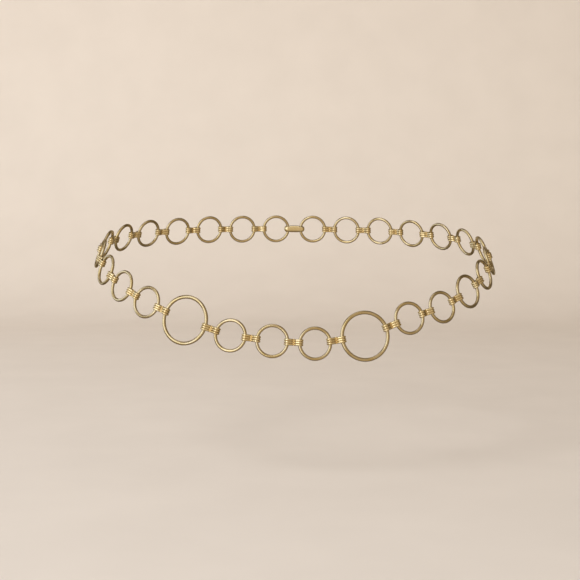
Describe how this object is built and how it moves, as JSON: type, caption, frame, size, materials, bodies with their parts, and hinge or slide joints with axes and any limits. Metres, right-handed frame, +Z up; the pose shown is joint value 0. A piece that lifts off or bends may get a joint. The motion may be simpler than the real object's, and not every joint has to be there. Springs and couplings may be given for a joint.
{
  "type": "waist chain",
  "caption": "Waist chain of plain round wire rings in two main sizes, joined by small triple-ribbed connectors, as a closed loop draped low on the hips.",
  "frame": {"origin": "on the axis of the body, in the middle of the loop, level with the sides of the loop where it bears on the hips; this is the mount waist", "axes": "+Z up; -Y is the front of the body, where the loop hangs lowest; +X is to the right as seen from the front"},
  "size_m": [0.2615, 0.1992, 0.0837],
  "materials": {
    "ring_metal": "gold-tone plating, polished, pale champagne",
    "connector_metal": "gold-tone plating, polished ribs with darker grooves",
    "clasp_metal": "gold-tone plating, polished"
  },
  "bodies": {
    "root": {"ring_01": "ring_metal", "ring_02": "ring_metal", "ring_03": "ring_metal", "ring_04": "ring_metal", "ring_05": "ring_metal", "ring_06": "ring_metal", "ring_07": "ring_metal", "ring_08": "ring_metal", "ring_09": "ring_metal", "ring_10": "ring_metal", "ring_11": "ring_metal", "ring_12": "ring_metal", "ring_13": "ring_metal", "ring_14": "ring_metal", "ring_15": "ring_metal", "ring_16": "ring_metal", "ring_17": "ring_metal", "ring_18": "ring_metal", "ring_19": "ring_metal", "ring_20": "ring_metal", "ring_21": "ring_metal", "ring_22": "ring_metal", "ring_23": "ring_metal", "ring_24": "ring_metal", "ring_25": "ring_metal", "ring_26": "ring_metal", "ring_27": "ring_metal", "ring_28": "ring_metal", "connector_08": "connector_metal", "connector_09": "connector_metal", "connector_10": "connector_metal", "connector_11": "connector_metal", "connector_12": "connector_metal", "connector_13": "connector_metal", "connector_14": "connector_metal", "connector_15": "connector_metal", "connector_16": "connector_metal", "connector_17": "connector_metal", "connector_18": "connector_metal", "connector_19": "connector_metal", "connector_20": "connector_metal", "left_back_connectors": "connector_metal", "right_back_connectors": "connector_metal", "clasp": "clasp_metal"}
  },
  "joints": []
}
